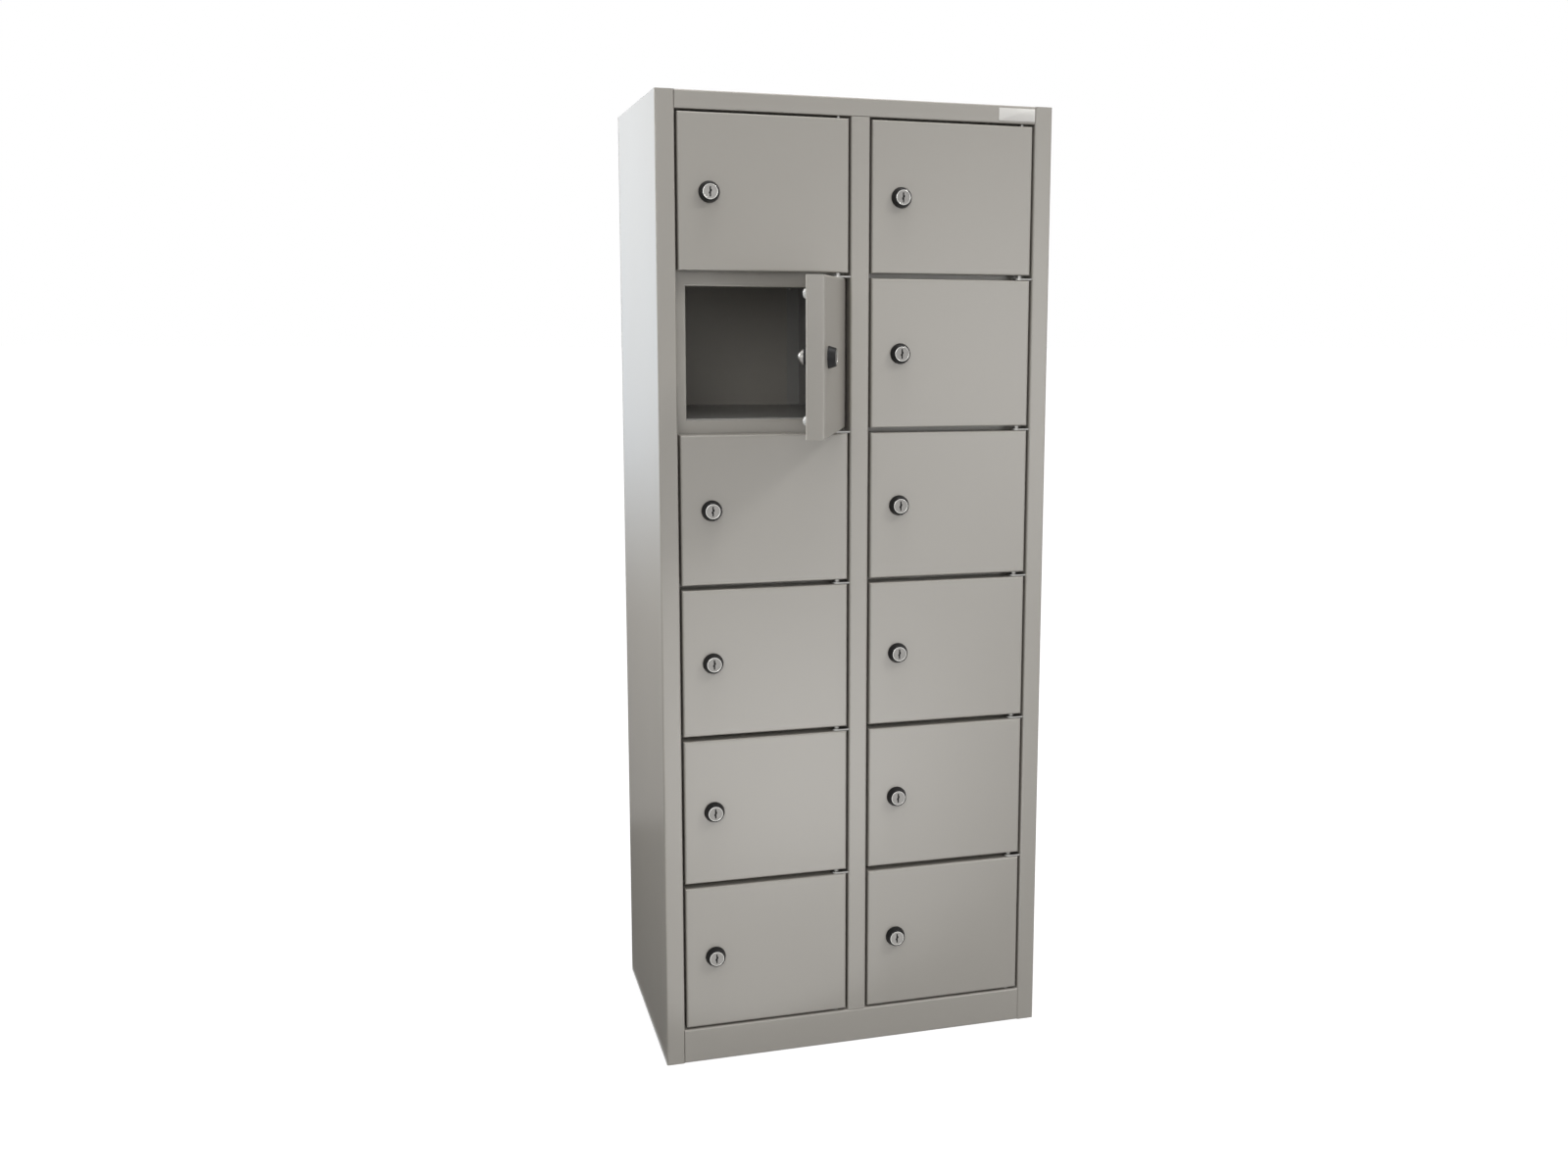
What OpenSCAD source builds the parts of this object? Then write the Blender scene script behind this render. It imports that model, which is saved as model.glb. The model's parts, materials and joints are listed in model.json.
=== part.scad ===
// Phone locker cabinet: twelve small compartments in two columns of six, in folded steel sheet.
// Every door is an inset pan that turns on pivot pins at its right-hand edge and carries a cam lock.
// Millimetres. The origin is the middle of the footprint on the floor, +Z is up, the doors face -Y.

/* [Cabinet] */
// Outside width
cab_w = 400; // [360:1:500]
// Outside depth, front to back
cab_d = 250; // [180:1:400]
// Outside height
cab_h = 965; // [900:1:1200]
// Face width of the left and right posts
side_post_w = 18.5; // [15:0.5:30]
// Face width of the centre post
centre_post_w = 19; // [16:0.5:40]
// Face height of the top rail
top_rail_h = 17.5; // [14:0.5:40]
// Face height of the plinth
plinth_h = 35.5; // [20:0.5:80]
// Width of the stop flange round each doorway
stop_w = 12; // [9:0.5:15]
// Width of the flanges that meet the back panel
rear_flange_w = 15; // [14:1:25]
// Depth of the returns of the cross rails
rail_return = 12; // [8:1:20]

/* [Sheet] */
// Thickness of the steel sheet
sheet = 1; // [0.8:0.1:1.2]
// Inside radius of every fold
fold_r = 0.8; // [0.5:0.1:1.2]

/* [Doors] */
// Depth of the door pan
door_depth = 17; // [15:0.5:20]
// Gap between a door and the posts beside it
side_gap = 2.3; // [2.1:0.1:4]
// Gap between two doors of a column
row_gap = 5; // [4.5:0.5:10]
// Gap above the top door and below the bottom door
end_gap = 2.2; // [1.5:0.1:5]
// Width of the lips behind the door's two upright edges
lip_w = 15; // [13:0.5:18]
// Angle at which the second door of the left column stands open
open_angle = 68; // [0:1:110]

/* [Hinges] */
// Distance of the pivot from the door's right-hand edge
pivot_in = 9; // [8:0.5:12]
// Distance of the pivot behind the door's face
pivot_back = 7; // [6.5:0.5:7.5]
// Diameter of the pivot pins
pin_d = 4; // [3:0.5:5]
// Diameter of the collar that carries a door
collar_d = 6; // [5.5:0.5:8]
// Length of pin inside a door
pin_reach = 5; // [3:0.5:10]
// Thickness of the hinge tabs
tab_t = 1.5; // [1:0.1:2]
// Radius of the round end of a hinge tab
tab_r = 6; // [5:0.5:6]

/* [Locks] */
// Distance of the lock from the door's left-hand edge
lock_in = 30; // [27:0.5:45]
// Diameter of the black cap at the door
cap_base_d = 20.5; // [19:0.5:26]
// Diameter of the black cap at its front
cap_tip_d = 17; // [16.5:0.5:18.5]
// Distance that the cap stands out
cap_out = 7; // [5:0.5:12]
// Diameter of the bright key face
face_d = 14.5; // [13:0.5:15]
// Diameter of the lock barrel
barrel_d = 16; // [15:0.5:17]
// Diameter of the plug that turns in the barrel
plug_d = 11; // [10:0.5:12]
// Width of the cam
cam_w = 14; // [12:0.5:18]
// Thickness of the cam
cam_t = 2; // [1.5:0.1:3]
// Length by which the cam laps behind the stop flange
cam_bite = 7; // [5:0.5:9]
// Diameter of the head of the screw that holds the cam
screw_head_d = 10; // [8:0.5:12]
// Height of that head
screw_head_h = 4; // [3:0.5:5]

/* [Fittings] */
// Diameter of a door bumper
bumper_d = 8.2; // [6:0.2:10]
// Distance of a bumper from the door's top or bottom edge
bumper_in = 16.8; // [12:0.2:30]
// Diameter of the wall fixing holes
wall_hole_d = 8; // [5:0.5:10]
// Sideways spacing of the wall fixing holes
wall_hole_span = 300; // [200:5:320]
// Distance of the upper wall fixing holes from the cabinet's top
wall_hole_top = 75; // [50:5:100]
// Distance of the lower wall fixing holes from the floor
wall_hole_bottom = 105; // [90:5:130]
// Diameter of a rivet's head
rivet_head_d = 6.5; // [5:0.5:8]
// Diameter of a rivet's shank
rivet_d = 3.2; // [2.4:0.2:4]

/* [Hidden] */
$fn = 48;
ROWS = 6;
SIDES = ["left", "right"];
DOOR_PIECES = ["door", "lock_body", "lock_core", "bumpers"];
function piece_name(piece, column, row) = str(piece, "_", SIDES[column], "_", row);

// Clearances
run_fit = 0.05;      // a pin or plug in the hole that it turns in, on the radius
seat = 0.05;         // hairline between two clamped pieces
swing_clear = 0.5;   // behind the arc of the door's rear corner
bumper_clear = 0.45; // between a bumper and the stop flange
collar_clear = 0.3;  // between a collar and the door that it carries
tab_clear = 0.6;     // between a hinge tab and the door below it
cam_clear = 0.5;     // between the cam and the stop flange
hole_clear = 0.1;    // round a lock barrel or rivet in its hole, on the radius
corner_clear = 0.5;  // between a shelf's front corner and the jamb of a post

// The frame
front = -cab_d / 2;
back = cab_d / 2;
back_inner = back - sheet;
opening_w = (cab_w - 2 * side_post_w - centre_post_w) / 2;
opening_bottom = plinth_h;
opening_top = cab_h - top_rail_h;
function opening_left(column) = column == 0 ? -cab_w / 2 + side_post_w : centre_post_w / 2;
function opening_right(column) = opening_left(column) + opening_w;

// The doors, whose rows count from the top
door_w = opening_w - 2 * side_gap;
door_h = (opening_top - opening_bottom - 2 * end_gap - (ROWS - 1) * row_gap) / ROWS;
function door_bottom(row) = opening_top - end_gap - row * door_h - (row - 1) * row_gap;
function door_top(row) = door_bottom(row) + door_h;
function door_angle(column, row) = column == 0 && row == 2 ? open_angle : 0;
function pivot_x(column) = opening_right(column) - side_gap - pivot_in;
pivot_y = front + pivot_back;
door_left = pivot_in - door_w;
door_front = -pivot_back;
door_rear = door_front + door_depth;

// The stop flanges lie just behind the arc of a door's rear corner on the hinge side
stop_depth = pivot_back + norm([pivot_in, door_depth - pivot_back]) + swing_clear;
bumper_h = stop_depth - door_depth - bumper_clear;
bumper_dome_h = 1.4;

// The shelves: number 1 lies below the top row, number ROWS is the floor of the lowest compartment
rail_h = 2 * stop_w - sheet;
function gap_middle(row) = door_bottom(row) - row_gap / 2;
function shelf_top(row) = row == ROWS ? plinth_h + stop_w : gap_middle(row) + stop_w;
function ceiling(row) = row == 1 ? cab_h - sheet : shelf_top(row - 1) - sheet;

// Hinges
collar_h = row_gap - tab_clear - tab_t - collar_clear;
end_collar_h = end_gap - collar_clear;
pin_head_d = 7;
pin_head_h = 1.5;

// Locks, measured backwards from the door's face
lock_x = door_left + lock_in;
cap_rim = 0.4;
face_recess = 2;
face_proud = 0.3;
face_rim_w = 0.6;
face_dish = 0.3;
slot_w = 1.4;
slot_h = 9.5;
slot_deep = 14;
ward_w = 0.7;
ward_h = 2.2;
nut_across = 22;
nut_t = 3;
cam_front = stop_depth + sheet + cam_clear;
cam_reach = lock_in - (stop_w - side_gap) + cam_bite;
cam_shoulder = 1.5;
cam_tip_w = cam_w - 2 * cam_shoulder;
tang_w = 7;
screw_d = 5;
screw_len = 8;
screw_rim_h = 1.2;

// Rivets that join the partition's flange to the back panel, below the top sheet's rear flange
rivet_in = 10;
rivet_clear = 2.6;
rivet_drop = rear_flange_w + rivet_clear + rivet_head_d / 2;
rivet_head_h = 1.3;
rivet_rim_h = 0.3;

powder_grey = [0.64, 0.63, 0.60];
inner_grey = [0.56, 0.55, 0.53];
zinc = [0.78, 0.78, 0.76];
black = [0.06, 0.06, 0.06];
chrome = [0.83, 0.83, 0.81];
clear_rubber = [0.88, 0.89, 0.88];

// End-on profile of a folded sheet. One face follows straight runs from the origin along +X, given
// as [length to the sharp corner, turn], where a turn is 1 to the left, -1 to the right and 0 at
// the free end. The thickness lies on the left of that face.
module folded(runs, i = 0, before = 0) {
    turn = runs[i][1];
    after = turn == 0 ? 0 : turn > 0 ? fold_r + sheet : fold_r;
    translate([before, 0])
        square([runs[i][0] - before - after, sheet]);
    if (turn != 0)
        translate([runs[i][0], 0]) {
            translate([-after, turn * after])
                fold(turn);
            rotate(90 * turn)
                folded(runs, i + 1, after);
        }
}

// A quarter turn of sheet about the middle of its fold
module fold(turn) {
    size = 2 * (fold_r + sheet);
    intersection() {
        difference() {
            circle(fold_r + sheet);
            circle(fold_r);
        }
        translate([0, turn > 0 ? -size : 0])
            square(size);
    }
}

// Turns a profile drawn in depth and height into a length along X
module along_x(from, to)
    translate([from, 0, 0])
        rotate([90, 0, 90])
            linear_extrude(to - from)
                children();

// Turns a shape that points up into one that points backwards
module backwards()
    rotate([-90, 0, 0])
        children();

// A side in one sheet: rear flange, side, post face, jamb and stop flange. The jamb and the stop
// flange are cut back at both ends, where the top sheet and the base sheet pass them.
module side_panel() {
    jamb_x = -cab_w / 2 + side_post_w - sheet;
    difference() {
        linear_extrude(cab_h)
            translate([-cab_w / 2 + rear_flange_w, back_inner])
                rotate(180)
                    folded([[rear_flange_w, 1], [cab_d - sheet, 1], [side_post_w, 1],
                            [stop_depth, -1], [stop_w, 0]]);
        for (z = [-sheet, cab_h - sheet])
            translate([jamb_x - sheet, front + sheet + fold_r, z])
                cube([stop_w + 3 * sheet, stop_depth, 2 * sheet]);
    }
}

module side_left() {
    color(powder_grey)
        side_panel();
}

module side_right() {
    color(powder_grey)
        mirror([1, 0, 0])
            side_panel();
}

module back_panel() {
    wall_hole_z = [wall_hole_bottom, cab_h - wall_hole_top];
    color(powder_grey)
        difference() {
            translate([-cab_w / 2, back_inner, 0])
                cube([cab_w, sheet, cab_h]);
            for (x = [-wall_hole_span / 2, wall_hole_span / 2], z = wall_hole_z)
                translate([x, back_inner - sheet, z])
                    backwards()
                        cylinder(d = wall_hole_d, h = 3 * sheet);
            at_rivets()
                rivet_hole();
        }
}

// The top sheet and the base sheet are alike: a rear flange, a rail folded at the front, a return
// that holds the end pins and a stop flange for each doorway. Drawn as the top, at height 0.
module tray(rail_face_h) {
    half_w = cab_w / 2 - side_post_w;
    wing_front = front + sheet + fold_r;
    runs = [[rear_flange_w, 1], [cab_d - sheet, 1], [rail_face_h, 1]];
    difference() {
        union() {
            along_x(-half_w, half_w)
                translate([back_inner, -rear_flange_w])
                    rotate(90)
                        folded(concat(runs, [[stop_depth - fold_r, 0]]));
            for (column = [0, 1])
                along_x(opening_left(column) + stop_w, opening_right(column) - stop_w)
                    translate([back_inner, -rear_flange_w])
                        rotate(90)
                            folded(concat(runs, [[stop_depth, -1], [stop_w, 0]]));
            for (left = [-cab_w / 2 + sheet, half_w])
                translate([left, wing_front, -sheet])
                    cube([side_post_w - sheet, back_inner - sheet - fold_r - wing_front, sheet]);
        }
        for (column = [0, 1])
            translate([pivot_x(column), pivot_y, -rail_face_h - sheet])
                cylinder(d = pin_d + 2 * run_fit, h = 3 * sheet);
    }
}

module top_panel() {
    color(powder_grey)
        translate([0, 0, cab_h])
            tray(top_rail_h);
}

module base_panel() {
    color(powder_grey)
        mirror([0, 0, 1])
            tray(plinth_h);
}

module centre_post() {
    color(powder_grey)
        translate([0, 0, opening_bottom])
            linear_extrude(opening_top - opening_bottom)
                translate([-centre_post_w / 2 - stop_w, front + stop_depth + sheet])
                    mirror([0, 1])
                        hat();
}

// Profile of the centre post: flange, jamb, face, jamb, flange
module hat()
    folded([[stop_w + sheet, 1], [stop_depth, -1], [centre_post_w - 2 * sheet, -1],
            [stop_depth, 1], [stop_w + sheet, 0]]);

// The partition reaches into the centre post and the rails, and its rear flange is riveted to the
// back panel. It is notched at the front past the folds of the rails and their returns, and at the
// rear past the flanges of top and base.
module centre_partition() {
    flange_start = back_inner - sheet - fold_r;
    return_slot = sheet + fold_r;
    color(powder_grey)
        difference() {
            translate([0, 0, sheet])
                linear_extrude(cab_h - 2 * sheet)
                    translate([sheet / 2, front + sheet])
                        rotate(90)
                            folded([[cab_d - 2 * sheet, 1], [rear_flange_w, 0]]);
            for (end = [[0, opening_bottom], [opening_top, cab_h]])
                translate([-sheet, front, end[0]])
                    cube([2 * sheet, sheet + fold_r, end[1] - end[0]]);
            for (z = [opening_bottom - return_slot, opening_top])
                translate([-sheet, front, z])
                    cube([2 * sheet, stop_depth + sheet, return_slot]);
            for (z = [0, cab_h - rear_flange_w])
                translate([-rear_flange_w, flange_start, z])
                    cube([2 * rear_flange_w, back - flange_start, rear_flange_w]);
            at_rivets()
                rivet_hole();
        }
}

// A shelf lies behind the stop flanges, and its front corners reach into the hollow of the posts,
// so that nothing can drop from one compartment into the next.
module shelves() {
    shelf_w = cab_w / 2 - sheet - sheet / 2;
    corner_front = front + sheet + fold_r;
    corner_d = stop_depth - fold_r;
    between_corners = opening_w + 2 * (sheet + corner_clear);
    color(inner_grey)
        for (column = [0, 1], row = [1 : ROWS])
            translate([0, corner_front, shelf_top(row) - sheet])
                linear_extrude(sheet)
                    difference() {
                        translate([column == 0 ? -cab_w / 2 + sheet : sheet / 2, 0])
                            square([shelf_w, back_inner - sheet - fold_r - corner_front]);
                        translate([opening_left(column) - sheet - corner_clear, -sheet])
                            square([between_corners, corner_d + sheet]);
                    }
}

module cross_rails() {
    color(powder_grey)
        for (column = [0, 1], row = [1 : ROWS - 1])
            along_x(opening_left(column) + stop_w, opening_right(column) - stop_w)
                translate([front + stop_depth + rail_return, shelf_top(row) - sheet])
                    rotate(180)
                        folded([[rail_return, 1], [rail_h, 1], [rail_return, 0]]);
}

// Places its children on the hinge line of every gap between two doors
module at_gaps()
    for (column = [0, 1], row = [1 : ROWS - 1])
        translate([pivot_x(column), pivot_y, door_top(row + 1)])
            children();

module hinge_tabs() {
    color(zinc)
        at_gaps()
            translate([0, 0, tab_clear])
                difference() {
                    union() {
                        cylinder(r = tab_r, h = tab_t);
                        translate([0, -tab_r, 0])
                            cube([pivot_in + side_gap, 2 * tab_r, tab_t]);
                    }
                    translate([0, 0, -tab_t])
                        cylinder(d = pin_d + 2 * run_fit, h = 3 * tab_t);
                }
}

// A pin between a low and a high end, both measured from the face that its collar stands on
module pivot_pin(low, high, collar) {
    translate([0, 0, low])
        cylinder(d = pin_d, h = high - low);
    cylinder(d = collar_d, h = collar);
}

module hinge_pins() {
    door_end = sheet + pin_reach;
    color(zinc) {
        at_gaps()
            translate([0, 0, tab_clear + tab_t])
                pivot_pin(-tab_t - tab_clear - door_end, collar_h + collar_clear + door_end, collar_h);
        for (column = [0, 1]) {
            translate([pivot_x(column), pivot_y, opening_bottom]) {
                pivot_pin(-sheet - seat, end_gap + door_end, end_collar_h);
                translate([0, 0, -sheet - seat - pin_head_h])
                    cylinder(d = pin_head_d, h = pin_head_h);
            }
            translate([pivot_x(column), pivot_y, opening_top + sheet])
                pivot_pin(-sheet - end_gap - door_end, pin_head_h, pin_head_h);
        }
    }
}

// Places its children on the rivet of every compartment, at the inside of the back panel
module at_rivets()
    for (row = [1 : ROWS])
        translate([-sheet / 2 - rivet_in, back_inner, ceiling(row) - rivet_drop])
            children();

module rivet_hole()
    translate([0, -2 * sheet, 0])
        backwards()
            cylinder(d = rivet_d + 2 * hole_clear, h = 4 * sheet);

// Domed head on the partition's flange, and a shank through flange and panel
module rivets()
    color(inner_grey)
        at_rivets()
            translate([0, -sheet, 0]) {
                rotate([90, 0, 0])
                    button(rivet_head_d, rivet_rim_h, rivet_head_h - rivet_rim_h);
                backwards()
                    cylinder(d = rivet_d, h = 2 * sheet);
            }

// A button with a straight side and a domed top
module button(d, side_h, dome_h) {
    sphere_r = (d * d / 4 + dome_h * dome_h) / (2 * dome_h);
    rotate_extrude()
        intersection() {
            translate([0, side_h + dome_h - sphere_r])
                circle(sphere_r);
            square([d / 2, side_h + dome_h]);
        }
}

// Rectangle with round corners
module rounded(size, r) {
    translate([r, 0])
        square([size.x - 2 * r, size.y]);
    translate([0, r])
        square([size.x, size.y - 2 * r]);
    for (x = [r, size.x - r], y = [r, size.y - r])
        translate([x, y])
            circle(r);
}

// The outer block of a door (inset 0) or the space inside it (inset by the sheet). Its upright
// edges are round, and so are its two front edges along the top and the bottom.
module pan_block(inset) {
    r = fold_r + sheet - inset;
    size = [door_w - 2 * inset, door_depth - 2 * inset, door_h - 2 * inset];
    translate([door_left + inset, door_front + inset, inset])
        intersection() {
            linear_extrude(size.z)
                rounded([size.x, size.y], r);
            along_x(0, size.x)
                rounded([2 * size.y, size.z], r);
        }
}

// A door stands on its hinge line: its pivot is the origin, and its bottom edge is at height 0
module door() {
    color(powder_grey)
        difference() {
            pan_block(0);
            pan_block(sheet);
            translate([door_left + lip_w, door_rear - 2 * sheet, sheet])
                cube([door_w - 2 * lip_w, 3 * sheet, door_h - 2 * sheet]);
            translate([0, 0, -sheet])
                cylinder(d = pin_d + 2 * run_fit, h = door_h + 2 * sheet);
            at_lock(-sheet)
                cylinder(d = barrel_d + 2 * hole_clear, h = 3 * sheet);
        }
}

// Places its children on the lock's axis, a depth behind the door's face, pointing backwards
module at_lock(depth)
    translate([lock_x, door_front + depth, door_h / 2])
        backwards()
            children();

// Black cap and barrel in one, and the nut that clamps them to the door
module lock_body() {
    cap_base_h = 1;
    barrel_end = cam_front - 2 * seat;
    face_hole_d = face_d + 2 * run_fit;
    color(black) {
        difference() {
            union() {
                at_lock(-cap_out)
                    cylinder(d1 = cap_tip_d - 2 * cap_rim, d2 = cap_tip_d, h = cap_rim);
                at_lock(-cap_out + cap_rim)
                    cylinder(d1 = cap_tip_d, d2 = cap_base_d, h = cap_out - cap_rim - cap_base_h);
                at_lock(-cap_base_h)
                    cylinder(d = cap_base_d, h = cap_base_h);
                at_lock(0)
                    cylinder(d = barrel_d, h = barrel_end);
            }
            at_lock(-cap_out - cap_rim)
                cylinder(d = face_hole_d, h = face_recess + cap_rim + seat);
            at_lock(-cap_out)
                cylinder(d = plug_d + 2 * run_fit, h = cap_out + barrel_end + sheet);
        }
        at_lock(sheet + seat)
            difference() {
                cylinder(d = nut_across, h = nut_t, $fn = 6);
                translate([0, 0, -nut_t])
                    cylinder(d = barrel_d + 2 * seat, h = 3 * nut_t);
            }
    }
}

// The plug with its key face, the cam that points to the hinge, and the screw that holds the cam
module lock_core() {
    cam_seat = cam_front - seat;
    color(chrome) {
        difference() {
            union() {
                at_lock(-cap_out - face_proud)
                    cylinder(d = face_d, h = face_proud + face_recess);
                at_lock(-cap_out)
                    cylinder(d = plug_d, h = cap_out + cam_seat);
                at_lock(cam_seat - sheet)
                    translate([-tang_w / 2, -tang_w / 2, 0])
                        cube([tang_w, tang_w, cam_t + sheet]);
            }
            at_lock(-cap_out - face_proud - face_dish)
                cylinder(d = face_d - 2 * face_rim_w, h = 2 * face_dish);
            at_lock(-cap_out - face_proud - face_dish)
                linear_extrude(slot_deep)
                    key_slot();
            at_lock(cam_seat + cam_t - screw_len - seat)
                cylinder(d = screw_d + 2 * seat, h = screw_len + sheet);
        }
        at_lock(cam_front)
            cam();
        at_lock(cam_front + cam_t + seat)
            cam_screw();
    }
}

// Upright slot with a ward on each side, so that it zig-zags
module key_slot() {
    translate([-slot_w / 2, -slot_h / 2])
        square([slot_w, slot_h]);
    translate([-slot_w / 2 - ward_w, 0])
        square([2 * ward_w, ward_h]);
    translate([slot_w / 2 - ward_w, -ward_h])
        square([2 * ward_w, ward_h]);
}

// Flat plate with a round end at the plug and a narrower straight tip
module cam() {
    difference() {
        union() {
            cylinder(d = cam_w, h = cam_t);
            translate([0, -cam_tip_w / 2, 0])
                cube([cam_reach, cam_tip_w, cam_t]);
        }
        translate([-tang_w / 2 - seat, -tang_w / 2 - seat, -cam_t])
            cube([tang_w + 2 * seat, tang_w + 2 * seat, 3 * cam_t]);
    }
}

module cam_screw() {
    button(screw_head_d, screw_rim_h, screw_head_h - screw_rim_h);
    translate([0, 0, -screw_len + sheet])
        cylinder(d = screw_d, h = screw_len - sheet);
}

// Two domed pads on the lip behind the door's left-hand edge
module bumpers()
    color(clear_rubber)
        for (z = [bumper_in, door_h - bumper_in])
            translate([door_left + lip_w / 2, door_rear, z])
                backwards()
                    button(bumper_d, bumper_h - bumper_dome_h, bumper_dome_h);

// Hangs a door, or a piece that it carries, on its hinge line at its resting angle
module hang(column, row)
    translate([pivot_x(column), pivot_y, door_bottom(row)])
        rotate(door_angle(column, row))
            children();

side_left();
side_right();
back_panel();
top_panel();
base_panel();
centre_post();
centre_partition();
shelves();
cross_rails();
hinge_tabs();
hinge_pins();
rivets();
for (column = [0, 1], row = [1 : ROWS]) {
    hang(column, row) door();
    hang(column, row) lock_body();
    hang(column, row) lock_core();
    hang(column, row) bumpers();
}
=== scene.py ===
# %% [markdown]
# # Dressing a steel locker cabinet
# The cabinet comes from CAD with every sheet, hinge and lock in its true place. Blender gives it
# finishes, the few things too thin to be worth a solid, and a photographer's light.

# %% Load the cabinet
import json
from math import radians
import bmesh
import bpy
from mathutils import Matrix, Quaternion, Vector


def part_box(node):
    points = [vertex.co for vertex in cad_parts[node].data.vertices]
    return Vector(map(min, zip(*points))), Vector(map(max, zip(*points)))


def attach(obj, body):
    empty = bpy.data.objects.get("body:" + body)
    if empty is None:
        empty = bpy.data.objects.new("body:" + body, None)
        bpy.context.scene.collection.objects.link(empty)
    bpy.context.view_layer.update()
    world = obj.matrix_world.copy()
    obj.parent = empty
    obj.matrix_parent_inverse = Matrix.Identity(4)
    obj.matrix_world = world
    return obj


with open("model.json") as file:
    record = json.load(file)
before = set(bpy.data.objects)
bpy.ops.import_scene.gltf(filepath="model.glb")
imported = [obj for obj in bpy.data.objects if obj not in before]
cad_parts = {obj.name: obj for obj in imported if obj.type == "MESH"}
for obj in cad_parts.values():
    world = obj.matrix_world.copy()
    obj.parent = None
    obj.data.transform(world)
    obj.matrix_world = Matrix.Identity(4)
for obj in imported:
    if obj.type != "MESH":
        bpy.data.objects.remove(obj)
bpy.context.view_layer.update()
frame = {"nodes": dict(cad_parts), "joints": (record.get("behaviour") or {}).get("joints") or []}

print("CAD parts:", len(frame["nodes"]))

# %% [markdown]
# Drawings of sheet metal are in millimetres and Blender works in metres, so one constant turns one
# into the other. Paint is easiest to name as it looks on a screen, from 0 to 255, but shaders count
# light, so a small function converts it by the curve that screens follow, sRGB.

# %% Units and colours
MM = 0.001
WHITE = (1, 1, 1, 1)


def paint(red, green, blue):
    """A colour as a screen shows it, from 0 to 255, as the amounts of light that a shader wants."""
    def light(value):
        value /= 255
        return value / 12.92 if value <= 0.04045 else ((value + 0.055) / 1.055) ** 2.4
    return (light(red), light(green), light(blue), 1.0)


print("Mid grey on screen is this much light:", round(paint(128, 128, 128)[0], 3))

# %% [markdown]
# A material is a graph of nodes, and sums are tedious to wire by hand. `Amount` wraps one output
# and gives it Python's own signs, so `0.4 + 0.1 * grain` adds the Math nodes by itself. `Finish`
# starts a material whose fixed settings go straight to the sockets of the Principled shader.

# %% A small language for shaders
class Amount:
    """A number that varies over a surface."""

    def __init__(self, finish, socket):
        self.finish, self.socket = finish, socket

    def combine(self, operation, first, second):
        return self.finish.node("Math", {"operation": operation}, {0: first, 1: second})

    def __add__(self, other): return self.combine("ADD", self, other)
    def __rsub__(self, other): return self.combine("SUBTRACT", other, self)
    def __mul__(self, other): return self.combine("MULTIPLY", self, other)
    __radd__, __rmul__ = __add__, __mul__


class Finish:
    """A material and the one method that adds nodes to it."""

    def __init__(self, name, **settings):
        self.material = bpy.data.materials.new(name)
        self.material.use_nodes = True
        self.tree = self.material.node_tree
        self.surface = self.tree.nodes["Principled BSDF"]
        self.show(**settings)

    def feed(self, node, values):
        for key, value in values.items():
            socket = node.inputs[key]
            if isinstance(value, Amount):
                self.tree.links.new(value.socket, socket)
            else:
                socket.default_value = value

    def node(self, kind, settings=None, values=None, output=0):
        made = self.tree.nodes.new("ShaderNode" + kind)
        for key, value in (settings or {}).items():
            setattr(made, key, value)
        self.feed(made, values or {})
        return Amount(self, made.outputs[output])

    def show(self, **values):
        """Feeds the shader's own sockets, so Base_Color=... goes to Base Color."""
        self.feed(self.surface, {key.replace("_", " "): value for key, value in values.items()})
        return self.material


print("Finishes are ready to mix")

# %% [markdown]
# Patterns hang on Object coordinates, which are real metres here. So a noise with a scale of 1/size
# has lumps of that size on every piece, large or small. These three helpers give a soft noise, a
# blend of two paints and a bump in real metres. Pictures of paint could do the same, but a noise
# needs no file and never repeats.

# %% Noise, blends and bumps
MIX_SHARE, MIX_LOW, MIX_HIGH, MIXED = 0, 6, 7, 2  # where a Mix node keeps its sockets for colours


def lumps(finish, size, detail=2.0, stretch=(1, 1, 1)):
    """Noise from 0 to 1 whose lumps are about size metres across."""
    place = finish.node("TexCoord", output="Object")
    if stretch != (1, 1, 1):
        place = finish.node("Mapping", values={"Vector": place, "Scale": stretch})
    return finish.node("TexNoise", {"noise_dimensions": "3D"},
                       {"Vector": place, "Scale": 1 / size, "Detail": detail, "Roughness": 0.5})


def blend(finish, share, low, high):
    """One paint where share is 0 and the other where it is 1."""
    return finish.node("Mix", {"data_type": "RGBA"},
                       {MIX_SHARE: share, MIX_LOW: low, MIX_HIGH: high}, output=MIXED)


def bump(finish, height, depth, strength=1.0):
    """A normal for a surface that rises by depth metres where height is 1."""
    return finish.node("Bump", values={"Height": height, "Distance": depth, "Strength": strength})


print("A mix node gives its colour at output", MIXED)

# %% [markdown]
# ## Powder coat
# Powder paint is sprayed dry and melts in an oven, so it never lies quite flat: at arm's length the
# sheet looks even, and close up it has the skin of an orange with lumps two to three millimetres
# across. Large, very faint clouds in colour and shine keep a door from looking printed. The sheets
# inside the compartments took the same paint; their copy of it is a little darker and cooler, which
# is painted shade and painted cool light.

# %% Mix the powder coat
PEEL_SIZE = 2.6 * MM
GRAIN_SIZE = 0.5 * MM
CLOUD_SIZE = 160 * MM


def powder_coat(name, pale, deep):
    coat = Finish(name, IOR=1.5)
    peel = lumps(coat, PEEL_SIZE, detail=1.5)
    grain = lumps(coat, GRAIN_SIZE, detail=1.0)
    clouds = lumps(coat, CLOUD_SIZE, detail=3.0)
    return coat.show(
        Base_Color=blend(coat, 0.8 * clouds + 0.2 * grain, deep, pale),
        Roughness=0.25 + 0.08 * clouds + 0.02 * peel,
        Normal=bump(coat, 0.9 * peel + 0.1 * grain, 0.02 * MM, 0.20))


cabinet_grey = powder_coat("powder_coat", paint(161, 157, 150), paint(155, 151, 144))
# The inside copy is darker and cooler than the outside: painted shade and painted cool light.
inside_coat_painted_cool_shade = powder_coat("powder_coat_inside", paint(154, 153, 150), paint(147, 146, 143))
print("Powder coats:", cabinet_grey.name, inside_coat_painted_cool_shade.name)
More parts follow.
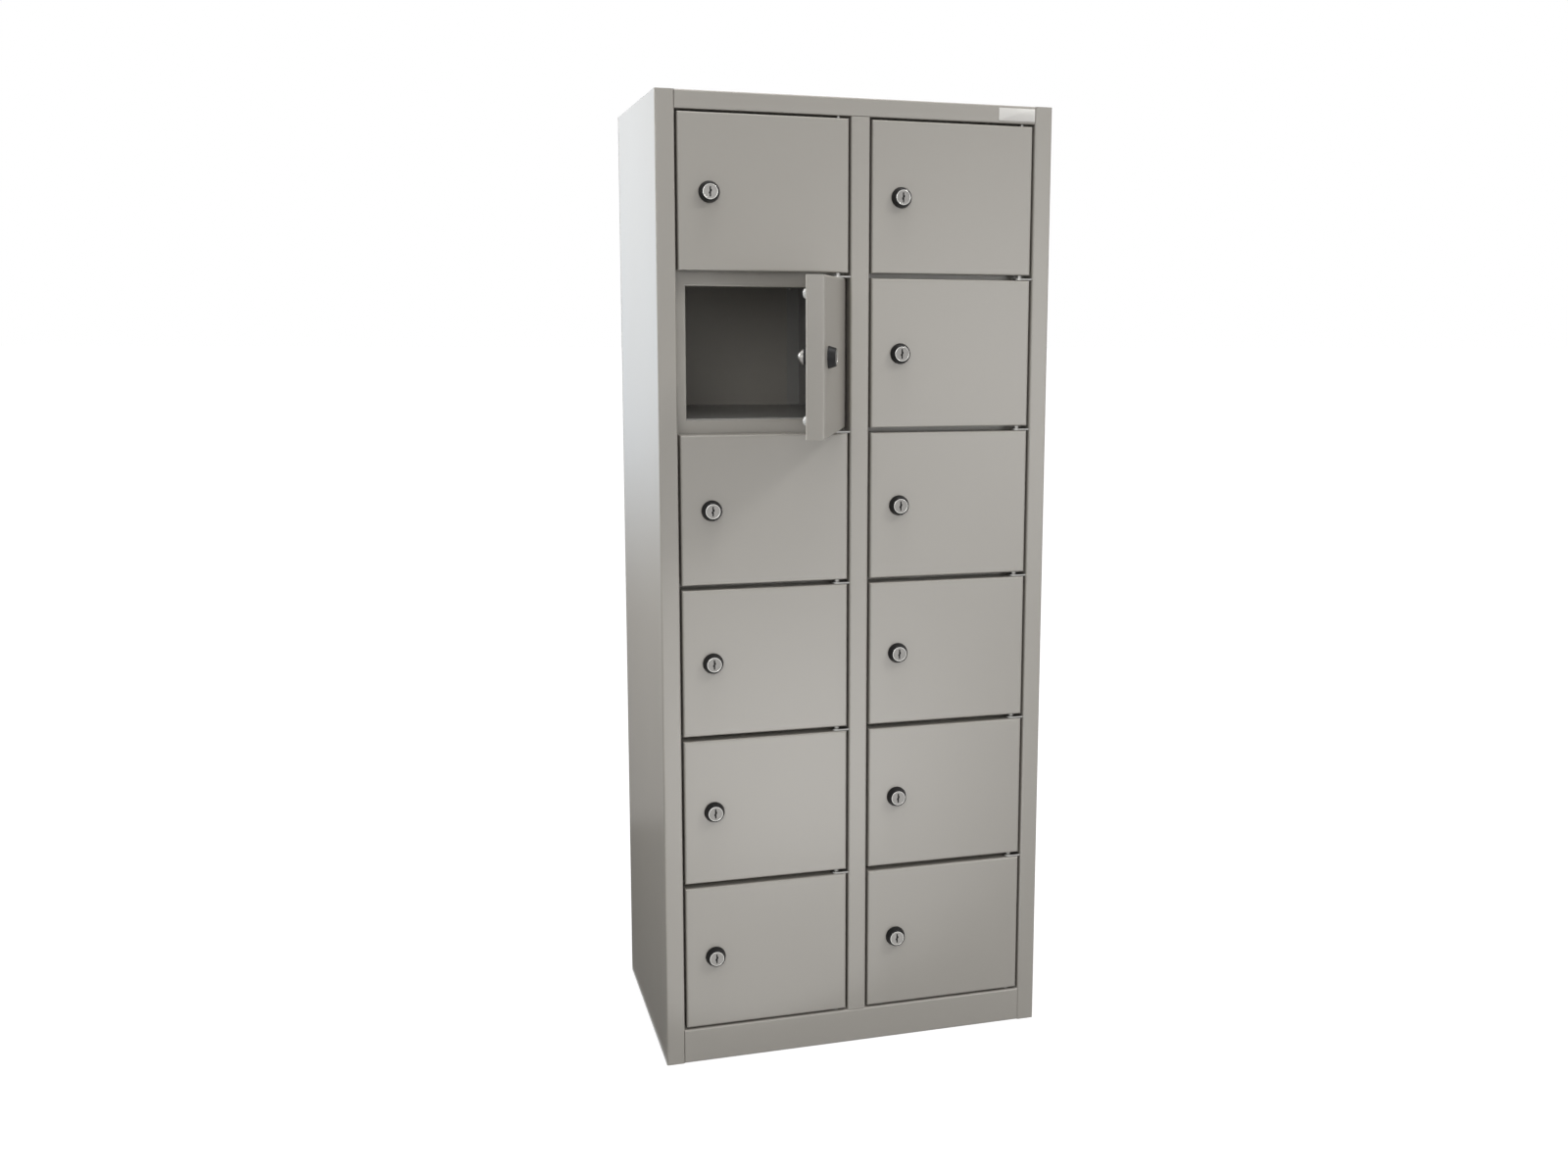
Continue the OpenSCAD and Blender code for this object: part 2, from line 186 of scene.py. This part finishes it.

# %% [markdown]
# ## Metals of the fittings
# Hinge tabs and pins are bright zinc: metal, but cloudy and a little rough, with paints darker than
# the zinc's own as painted shade of the door gaps they sit in. The lock's key face and cam are
# die-cast and nickel plated, with the fine upright scratches that keys leave, and a polished rim
# frames the face. All three are one recipe with other paints and another gloss. Squeezing the noise
# along one axis draws its lumps out into scratches.

# %% Mix the metals
def metal(name, pale, deep, gloss, squeeze=1):
    plating = Finish(name, Metallic=1.0)
    clouds = lumps(plating, 4 * MM, detail=3.0)
    marks = lumps(plating, 0.35 * MM, stretch=(1, 1, squeeze))
    return plating.show(
        Base_Color=blend(plating, clouds, deep, pale),
        Roughness=gloss + 0.12 * marks,
        Normal=bump(plating, marks, 0.02 * MM, 0.25))


# The zinc's paints are darker than bright zinc: painted shade of the door gaps.
zinc_painted_gap_shade = metal("bright_zinc", paint(176, 175, 172), paint(154, 153, 150), gloss=0.36)
nickel = metal("nickel", paint(156, 154, 151), paint(140, 138, 135), gloss=0.32, squeeze=0.2)
bright = metal("polished_rim", paint(226, 225, 221), paint(208, 206, 202), gloss=0.18)
print("Metals:", zinc_painted_gap_shade.name, nickel.name, bright.name)

# %% [markdown]
# ## Plastics of the fittings
# The caps are moulded black plastic. The mould was spark-eroded, which leaves a faint grain that
# both dulls the shine and tilts it, so one noise feeds the roughness and the bump. The bumpers are
# soft clear buttons. Real clear rubber is milky, so only a third of the light passes through them.

# %% Mix the plastics
def moulded_black():
    plastic = Finish("black_moulding", IOR=1.46, Specular_IOR_Level=0.32)
    grit = lumps(plastic, 0.4 * MM)
    return plastic.show(
        Base_Color=blend(plastic, grit, paint(10, 10, 11), paint(20, 20, 21)),
        Roughness=0.36 + 0.12 * grit,
        Normal=bump(plastic, grit, 0.03 * MM, 0.3))


def clear_rubber():
    jelly = Finish("clear_rubber", IOR=1.45, Transmission_Weight=0.35)
    haze = lumps(jelly, 3 * MM)
    return jelly.show(
        Base_Color=blend(jelly, haze, paint(226, 228, 227), paint(244, 245, 244)),
        Roughness=0.22 + 0.10 * haze)


black, clear = moulded_black(), clear_rubber()
print("Plastics:", black.name, clear.name)

# %% [markdown]
# Every CAD part already has the right shape, so it keeps its mesh and only takes a finish. The
# first words of its name say which one.

# %% Dress the CAD parts
WEARS = {
    "shelves": inside_coat_painted_cool_shade, "rivets": inside_coat_painted_cool_shade, "centre_partition": inside_coat_painted_cool_shade, "hinge": zinc_painted_gap_shade,
    "lock_core": nickel, "lock_body": black, "bumpers": clear,
}
for name, part in frame["nodes"].items():
    finish = next((coat for start, coat in WEARS.items() if name.startswith(start)), cabinet_grey)
    part.data.materials.clear()
    part.data.materials.append(finish)
print("Dressed", len(frame["nodes"]), "CAD parts")

# %% [markdown]
# ## Making a piece
# New pieces are meshes shaped by bmesh operators. The first helper turns a finished bmesh into an
# object that sits at the origin, which the floor and the cards of the studio need as well. The
# second one also gives a piece of the cabinet smooth shading and the CAD body that it rides on.
# Edges that turn by more than 35 degrees stay sharp.

# %% Helpers that finish a mesh
SHARP_FROM = radians(35)


def as_object(mesh, name, finish):
    data = bpy.data.meshes.new(name)
    mesh.to_mesh(data)
    mesh.free()
    data.materials.append(finish)
    made = bpy.data.objects.new(name, data)
    bpy.context.scene.collection.objects.link(made)
    return made


def finish_piece(mesh, name, finish, body):
    bmesh.ops.recalc_face_normals(mesh, faces=mesh.faces)
    for face in mesh.faces:
        face.smooth = True
    piece = as_object(mesh, name, finish)
    piece.data.set_sharp_from_angle(angle=SHARP_FROM)
    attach(piece, body)
    return piece


print("Edges stay sharp from", round(SHARP_FROM, 2), "radians")

# %% [markdown]
# Stamped and moulded things have no knife edges, and the light that runs along a rounded edge is
# what makes them look real. A block is a cube scaled to size, and its edges are bevelled.

# %% Blocks and soft edges
def block_of(size):
    mesh = bmesh.new()
    corners = bmesh.ops.create_cube(mesh, size=1)["verts"]
    bmesh.ops.scale(mesh, verts=corners, vec=size)
    return mesh


def soften(mesh, edges, radius, segments=2):
    bmesh.ops.bevel(mesh, geom=edges, offset=radius, segments=segments, profile=0.5,
                    affect="EDGES", material=-1)


print("A block starts with 12 edges")

# %% [markdown]
# ## Key faces
# Each lock shows a bright rim round its key face, a black lip of the cap round that, and a spring
# shutter just inside the key slot. Rim and lip are turned on a lathe, so each is a small circle
# spun round the lock's axis. The circle of the rim is flattened before it is spun, because a low
# rim hides behind the lip when the door is seen from the side.

# %% Rims, lips and shutters
CAP_OUT = 7 * MM  # from the door's face to the front of the cap
FACE_AT = CAP_OUT + 0.3 * MM  # and to the key face, which stands a little proud of the cap
RIM_R, RIM_WIRE, RIM_FLATNESS = 6.95 * MM, 0.32 * MM, 0.5
LIP_R, LIP_WIRE = 7.72 * MM, 0.42 * MM
SHUTTER = Vector((1.3, 9.3, 0.6)) * MM
SHUTTER_DEPTH, SHUTTER_EDGE = 1.6 * MM, 0.12 * MM
WIRE_SIDES, TURN_STEPS = 12, 64


def turned_ring(radius, wire_radius, height, flatness=1.0):
    """A ring round the upright axis, whose wire is flattened along it."""
    ring = bmesh.new()
    wire = bmesh.ops.create_circle(ring, segments=WIRE_SIDES, radius=wire_radius)["verts"]
    bmesh.ops.rotate(ring, verts=wire, cent=(0, 0, 0), matrix=Matrix.Rotation(radians(90), 3, "X"))
    bmesh.ops.scale(ring, verts=wire, vec=(1, 1, flatness))
    bmesh.ops.translate(ring, verts=wire, vec=(radius, 0, height))
    bmesh.ops.spin(ring, geom=ring.edges[:], cent=(0, 0, 0), axis=(0, 0, 1), angle=radians(360),
                   steps=TURN_STEPS, use_merge=True)
    return ring


def key_rim():
    return turned_ring(RIM_R, RIM_WIRE, FACE_AT, RIM_FLATNESS)


def cap_lip():
    return turned_ring(LIP_R, LIP_WIRE, CAP_OUT)


def key_shutter():
    shutter = block_of(SHUTTER)
    bmesh.ops.translate(shutter, verts=shutter.verts, vec=(0, 0, FACE_AT - SHUTTER_DEPTH))
    soften(shutter, shutter.edges[:], SHUTTER_EDGE)
    return shutter


print("A ring has", WIRE_SIDES * TURN_STEPS, "faces")

# %% [markdown]
# The three are drawn at the origin, looking up, and then laid on each lock. Turning a copy for
# every door by hand would go wrong on the one that stands open. The CAD joint of a lock says where
# its axis meets the door and which way it looks, so one function serves all twelve.

# %% Lay them on the locks
FITTED = (
    (key_rim, "key_rim_", bright, "chrome_lock"),
    (cap_lip, "cap_lip_", black, "black_lock"),
    (key_shutter, "key_shutter_", black, "black_lock"),
)


def on_lock(joint):
    """Moves what is drawn at the origin, looking up, to a lock's axis at the door's face."""
    outward = Vector(joint["axis"])
    up = Vector((0, 0, 1))
    turn = Matrix((up.cross(outward), up, outward)).transposed().to_4x4()
    return Matrix.Translation(joint["pos_m"]) @ turn


locks = [joint for joint in frame["joints"] if joint["name"].endswith("_turn")]
for joint in locks:
    place = joint["name"][len("lock_"):-len("_turn")]
    for draw, prefix, finish, slot in FITTED:
        mesh = draw()
        mesh.transform(on_lock(joint))
        finish_piece(mesh, prefix + place, finish, joint["child"])
print("Made", len(locks), "key rims, lips and shutters")

# %% [markdown]
# ## Name plate
# A small plate of satin foil sits at the right-hand end of the top rail, against the seam where the
# rail meets the post. It is blank here. A block with rounded corners and a soft front edge is
# enough, but the edge matters, because it is what catches the light. The foil is brushed along its
# length, so its noise is squeezed in that direction.

# %% Foil for the plate
def satin_foil():
    foil = Finish("satin_foil", Metallic=0.35)
    brushed = lumps(foil, 0.3 * MM, stretch=(0.05, 1, 1))
    return foil.show(
        Base_Color=blend(foil, brushed, paint(196, 194, 190), paint(212, 210, 206)),
        Roughness=0.34 + 0.16 * brushed,
        Normal=bump(foil, brushed, 0.01 * MM, 0.3))


satin = satin_foil()
print("Foil:", satin.name)

# %% Blank name plate
PLATE = Vector((38.5, 0.6, 12.4)) * MM
PLATE_CORNER, PLATE_EDGE = 0.8 * MM, 0.2 * MM
PLATE_TO_SEAM = 0.4 * MM
PLATE_DOWN = 8.9 * MM  # from the cabinet's top to the middle of the plate
POST_FACE = 18.5 * MM
ALONG = 0.9  # an edge runs along an axis if its direction there is more than this


def blank_plate():
    plate = block_of(PLATE)
    upright = [e for e in plate.edges
               if abs((e.verts[0].co - e.verts[1].co).normalized().y) > ALONG]
    soften(plate, upright, PLATE_CORNER, segments=4)
    front = [e for e in plate.edges if all(v.co.y < 0 for v in e.verts)]
    soften(plate, front, PLATE_EDGE)
    return plate


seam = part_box("side_right")[1].x - POST_FACE
rail_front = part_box("top_panel")[0].y
cabinet_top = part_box("top_panel")[1].z
plate = blank_plate()
plate_at = Vector((seam - PLATE_TO_SEAM - PLATE.x / 2, rail_front - PLATE.y / 2,
                   cabinet_top - PLATE_DOWN))
bmesh.ops.translate(plate, verts=plate.verts, vec=plate_at)
name_plate = finish_piece(plate, "name_plate", satin, "cabinet")
print("Name plate faces:", len(name_plate.data.polygons))

# %% [markdown]
# ## Studio
# The photograph has a white ground without a horizon. More light would whiten the floor, but would
# bleach the cabinet too. So the floor is a large pale sheet that adds a little light of its own to
# what the camera and reflections see, and is plain pale paint to all other rays. It keeps the
# cabinet's shadow. The sky is white to the same rays. To the cabinet's paint it is a soft dome that
# grows brighter upwards, so the thin gaps between the doors stay dark.

# %% Floor
FLOOR_HALF = 30
FLOOR_GLOW = 0.8


def seen_rays(finish):
    """1 or more for rays that show the background itself, and 0 for rays that only light things."""
    camera, glossy, clear_through = [
        finish.node("LightPath", output=kind)
        for kind in ("Is Camera Ray", "Is Glossy Ray", "Is Transmission Ray")]
    return camera + glossy + clear_through


ground = Finish("studio_floor", Base_Color=paint(140, 140, 140), Roughness=0.9,
                Emission_Color=WHITE)
ground.show(Emission_Strength=FLOOR_GLOW * seen_rays(ground))
sheet = bmesh.new()
bmesh.ops.create_grid(sheet, x_segments=1, y_segments=1, size=FLOOR_HALF)
floor = as_object(sheet, "floor", ground.material)
print("Floor:", 2 * FLOOR_HALF, "metres wide")

# %% Sky
DOME_LOW, DOME_HIGH = 0.27, 1.08


class Sky(Finish):
    """The same small language for the world's own nodes."""

    def __init__(self, world):
        world.use_nodes = True
        self.tree = world.node_tree
        self.surface = self.tree.nodes["Background"]


world = bpy.data.worlds.new("studio")
bpy.context.scene.world = world
sky = Sky(world)
upwards = sky.node("SeparateXYZ", values={"Vector": sky.node("TexCoord")}, output="Z")
dome = sky.node("MapRange", values={"Value": upwards, "To Min": DOME_LOW, "To Max": DOME_HIGH})
seen = sky.node("Clamp", values={"Value": seen_rays(sky)})
sky.feed(sky.surface, {"Color": WHITE, "Strength": seen + (1 - seen) * dome})
print("The dome lights the paint with", DOME_LOW, "to", DOME_HIGH)

# %% [markdown]
# A glossy side seen from nearly edge-on is a mirror of what stands behind it, and in the photograph
# that is a room: a dark floor, a grey wall above it and a bright window higher up. Two cards stand
# in for that room. Only reflections see them, so they neither shade nor light the cabinet. The
# window fades in over some height, as a reflection in satin paint does.

# %% Cards that only reflections see
CARD_LEFT, CARD_RIGHT = -1.6, -0.2
CARD_FRONT, CARD_BACK = -0.3, 0.65
CARD_TOP = 2.2
FLOOR_CARD_UP = 0.002  # above the studio's floor, which would hide it
WINDOW_FADE = (0.30, 0.66)
WINDOW = (1.06, 1.18, 1.32, 1)


def card(name, low, high, turned, material):
    """An upright or lying rectangle between two corners, seen by reflections alone."""
    low, high = Vector(low), Vector(high)
    mesh = bmesh.new()
    made = bmesh.ops.create_grid(mesh, x_segments=1, y_segments=1, size=0.5)["verts"]
    bmesh.ops.rotate(mesh, verts=made, cent=(0, 0, 0), matrix=Matrix.Rotation(turned, 3, "X"))
    bmesh.ops.scale(mesh, verts=made, vec=high - low)
    bmesh.ops.translate(mesh, verts=made, vec=(low + high) / 2)
    made = as_object(mesh, name, material)
    made.visible_camera = made.visible_diffuse = made.visible_shadow = False
    made.visible_transmission = made.visible_volume_scatter = False


def wall_with_window():
    wall = Finish("room_wall", Base_Color=(0, 0, 0, 1), Specular_IOR_Level=0,
                  Emission_Strength=1.0)
    place = wall.node("TexCoord", output="Object")
    height = wall.node("SeparateXYZ", values={"Vector": place}, output="Z")
    fade = wall.node("MapRange", {"interpolation_type": "SMOOTHSTEP"},
                     {"Value": height, "From Min": WINDOW_FADE[0], "From Max": WINDOW_FADE[1]})
    return wall.show(Emission_Color=blend(wall, fade, paint(160, 158, 155), WINDOW))


room_floor = Finish("room_floor", Base_Color=paint(80, 78, 74), Roughness=0.8).material
card("room_wall", (CARD_LEFT, CARD_BACK, 0), (CARD_RIGHT, CARD_BACK, CARD_TOP), radians(90),
     wall_with_window())
card("room_floor", (CARD_LEFT, CARD_FRONT, FLOOR_CARD_UP),
     (CARD_RIGHT - MM, CARD_BACK, FLOOR_CARD_UP), 0, room_floor)
print("Two cards for the side's reflection")

# %% [markdown]
# ## Light
# Soft light comes from large lamps. The key hangs at the upper right and gives the caps their short
# shadows. A fill stands in front, a long one hangs overhead, and one with barn doors falls on the
# upper half of the left side. All are area lamps, because the edge of a shadow is as soft as its
# lamp is large.

# %% Lamps
def lamp(name, at, aim, width, height, power, spread=180):
    """An oval lamp that looks from one point to another."""
    data = bpy.data.lights.new(name, "AREA")
    data.shape, data.size, data.size_y, data.energy = "ELLIPSE", width, height, power
    data.spread = radians(spread)
    made = bpy.data.objects.new(name, data)
    made.location = at
    made.rotation_mode = "QUATERNION"
    made.rotation_quaternion = (Vector(aim) - Vector(at)).to_track_quat("-Z", "Y")
    bpy.context.scene.collection.objects.link(made)
    return made


lamp("key", (2.0, -1.8, 2.8), (0, 0, 0.6), 0.8, 0.8, 28)
lamp("fill", (-0.7, -2.1, 1.15), (-0.1, 0, 0.7), 1.0, 1.0, 8.5)
lamp("overhead", (0.1, -0.5, 3.4), (0, 0, 0.5), 1.6, 0.5, 28)
lamp("side_lamp", (-1.3, 0.3, 1.45), (-0.2, 0, 0.9), 0.6, 0.5, 3.0, spread=60)

# %% [markdown]
# The wide soft shine on the middle doors is a reflection of three more lamps, the gleams. Two lie
# on the floor in front and look up, and one stands at the right. They shine on the painted sheets
# alone, because in bare metal they would be a glare. Light linking does that: a lamp is given the
# collection of things that it may light.

# %% Gleams
painted = bpy.data.collections.new("painted_sheets")
for part in frame["nodes"].values():
    if part.data.materials[0] in (cabinet_grey, inside_coat_painted_cool_shade):
        painted.objects.link(part)


def gleam(made, turned=0.0):
    """Turns a lamp about the upright axis, and leaves only its reflection in the paint."""
    made.rotation_quaternion = Quaternion((0, 0, 1), turned) @ made.rotation_quaternion
    made.visible_camera = made.visible_diffuse = made.visible_transmission = False
    made.light_linking.receiver_collection = painted


gleam(lamp("gleam_core", (0.26, -1.40, 0.012), (0.26, -1.40, 1), 0.5, 1.6, 6), radians(16))
gleam(lamp("gleam_halo", (0.32, -1.62, 0.010), (0.32, -1.62, 1), 0.9, 3.0, 12), radians(18))
gleam(lamp("gleam_side", (1.35, -2.9, 0.60), (0, 0, 0.5), 1.4, 1.2, 16))

# %% [markdown]
# ## Camera
# The camera stands left of the cabinet at about three quarters of its height, and looks slightly
# down. Its place and lens were found by fitting the corners of the front, doors and locks to the
# photograph. Its shift slides the picture without turning the camera, and it is kept small, because
# every other view keeps it.

# %% Camera
CAMERA_AT = (-0.4391, -1.6498, 0.7617)
CAMERA_TURN = (81.514, -0.504, -17.546)
LENS, SENSOR = 36.583, 36
SHIFT_X, SHIFT_Y = -0.0750, -0.0250

view = bpy.data.cameras.new("camera")
view.lens, view.sensor_width = LENS, SENSOR
view.shift_x, view.shift_y = SHIFT_X, SHIFT_Y
camera = bpy.data.objects.new("camera", view)
camera.location = CAMERA_AT
camera.rotation_euler = [radians(angle) for angle in CAMERA_TURN]
bpy.context.scene.collection.objects.link(camera)
bpy.context.scene.camera = camera
bpy.context.scene.view_settings.view_transform = "Standard"
print("Camera at", [round(v, 3) for v in camera.location])
